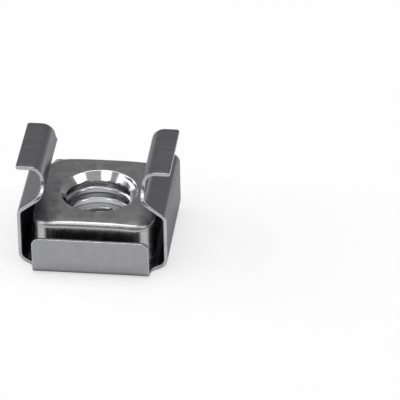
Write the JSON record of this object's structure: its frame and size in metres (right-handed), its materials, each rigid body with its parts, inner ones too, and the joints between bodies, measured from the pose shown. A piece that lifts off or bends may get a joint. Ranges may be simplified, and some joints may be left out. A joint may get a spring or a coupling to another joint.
{
  "type": "cage nut",
  "caption": "Square threaded nut held loose in a folded spring-sheet cage with low end walls and flared ears that clip into a square rack hole.",
  "frame": {"origin": "on the thread axis, in the plane of the underside of the cage's base", "axes": "+Z along the thread towards the flared lips, X across the ears, Y across the low walls"},
  "size_m": [0.0124, 0.0122, 0.0082],
  "materials": {
    "spring_sheet": "spring steel sheet, bright zinc plated, satin with faint rolling lines",
    "nut_steel": "bright zinc plated steel, smooth and glossy"
  },
  "bodies": {
    "root": {"cage": "spring_sheet", "square_nut": "nut_steel"}
  },
  "joints": []
}
